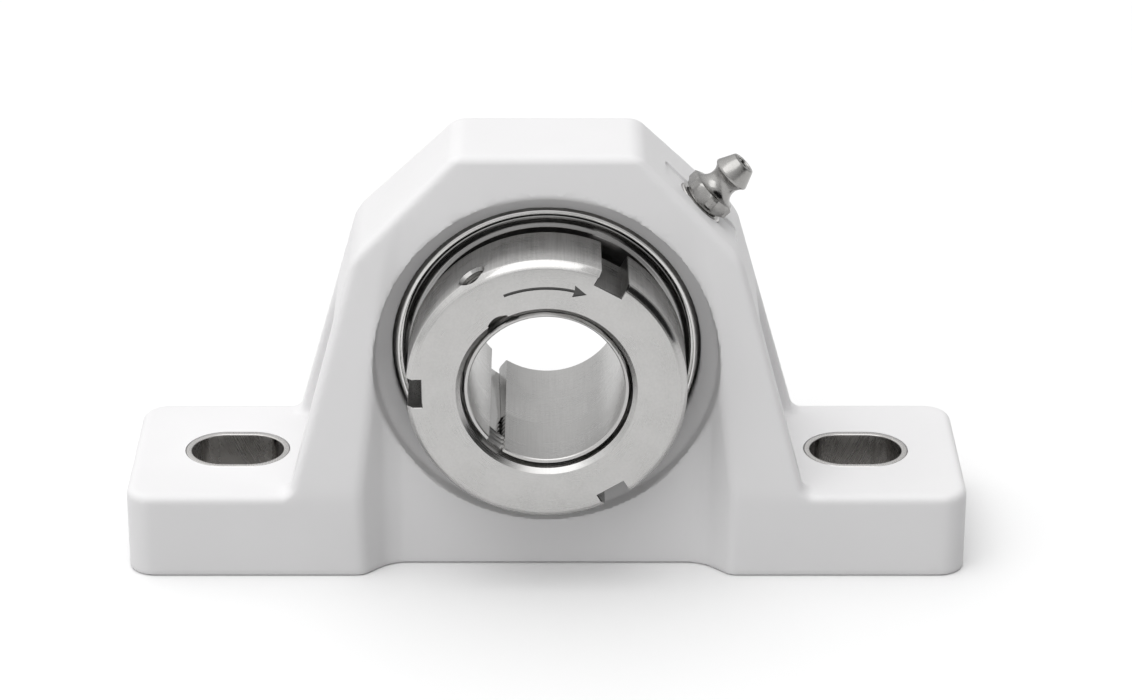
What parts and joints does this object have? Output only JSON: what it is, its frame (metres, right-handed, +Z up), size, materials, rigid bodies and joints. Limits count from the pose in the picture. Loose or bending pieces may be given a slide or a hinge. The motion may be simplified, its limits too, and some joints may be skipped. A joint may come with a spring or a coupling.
{
  "type": "pillow block bearing",
  "caption": "Two-bolt pillow block bearing with a moulded housing, a self-aligning ball bearing insert, and a split adapter sleeve and lock nut that clamp a shaft.",
  "frame": {"origin": "the middle of the base, on the surface that the block is bolted to, under the middle of the outer ring", "axes": "+Z up from the base, X along the base through both bolt slots, the shaft axis runs along Y at a height of 36.5 mm, and the lock nut faces -Y"},
  "size_m": [0.14, 0.0424, 0.0715],
  "materials": {
    "white_polymer": "moulded white polymer with a soft satin surface",
    "stainless": "turned stainless steel with fine tool marks",
    "bright_steel": "polished balls",
    "ring_steel": "ground stainless bearing ring",
    "spring_steel": "dull spring steel",
    "rubber": "moulded seal rubber",
    "nylon": "natural nylon"
  },
  "bodies": {
    "housing": {"housing": "white_polymer", "bolt_bush_left": "stainless", "bolt_bush_right": "stainless", "grease_port_insert": "stainless", "grease_fitting_body": "stainless", "grease_check_spring": "spring_steel"},
    "check_ball": {"grease_check_ball": "bright_steel"},
    "anti_rotation_pin": {"anti_rotation_pin": "stainless"},
    "outer_ring": {"outer_ring": "ring_steel", "front_seal_shell": "rubber", "rear_seal_shell": "rubber", "front_seal_lip": "rubber", "rear_seal_lip": "rubber"},
    "cage": {"ball_cage": "nylon", "ball_1": "bright_steel", "ball_2": "bright_steel", "ball_3": "bright_steel", "ball_4": "bright_steel", "ball_5": "bright_steel", "ball_6": "bright_steel", "ball_7": "bright_steel", "ball_8": "bright_steel", "ball_9": "bright_steel"},
    "inner_ring": {"inner_ring": "ring_steel", "front_flinger": "stainless", "rear_flinger": "stainless", "nut_retaining_ring": "spring_steel"},
    "sleeve": {"adapter_sleeve": "stainless"},
    "lock_nut": {"lock_nut": "stainless"},
    "set_screw": {"nut_set_screw": "spring_steel"}
  },
  "joints": [
    {"name": "align_pitch", "type": "hinge", "parent": "housing", "child": "anti_rotation_pin", "pos_m": [0, 0, 0.0365], "axis": [1, 0, 0], "range_deg": [-2, 2]},
    {"name": "align_yaw", "type": "hinge", "parent": "anti_rotation_pin", "child": "outer_ring", "pos_m": [0, 0, 0.0365], "axis": [0, 0, 1], "range_deg": [-2, 2]},
    {"name": "shaft_spin", "type": "hinge", "parent": "outer_ring", "child": "inner_ring", "pos_m": [0, 0, 0.0365], "axis": [0, 1, 0], "continuous": true},
    {"name": "cage_orbit", "type": "hinge", "parent": "outer_ring", "child": "cage", "pos_m": [0, 0, 0.0365], "axis": [0, 1, 0], "continuous": true},
    {"name": "nut_turn", "type": "hinge", "parent": "inner_ring", "child": "lock_nut", "pos_m": [0, 0, 0.0365], "axis": [0, -1, 0], "range_deg": [0, 360]},
    {"name": "sleeve_slide", "type": "slide", "parent": "inner_ring", "child": "sleeve", "axis": [0, 1, 0], "range_m": [0, 0.0016]},
    {"name": "set_screw_back_out", "type": "slide", "parent": "lock_nut", "child": "set_screw", "axis": [-0.5299, 0, 0.848], "range_m": [0, 0.0015]},
    {"name": "check_ball_press", "type": "slide", "parent": "housing", "child": "check_ball", "axis": [-0.7071, 0, -0.7071], "range_m": [0, 0.0008], "stiffness_N_per_m": 150, "deforming": ["grease_check_spring"]}
  ],
  "couplings": [
    {"joint": "cage_orbit", "follows": "shaft_spin", "ratio": 0.3987},
    {"joint": "sleeve_slide", "follows": "nut_turn", "m_per_rad": 0.00023873}
  ]
}
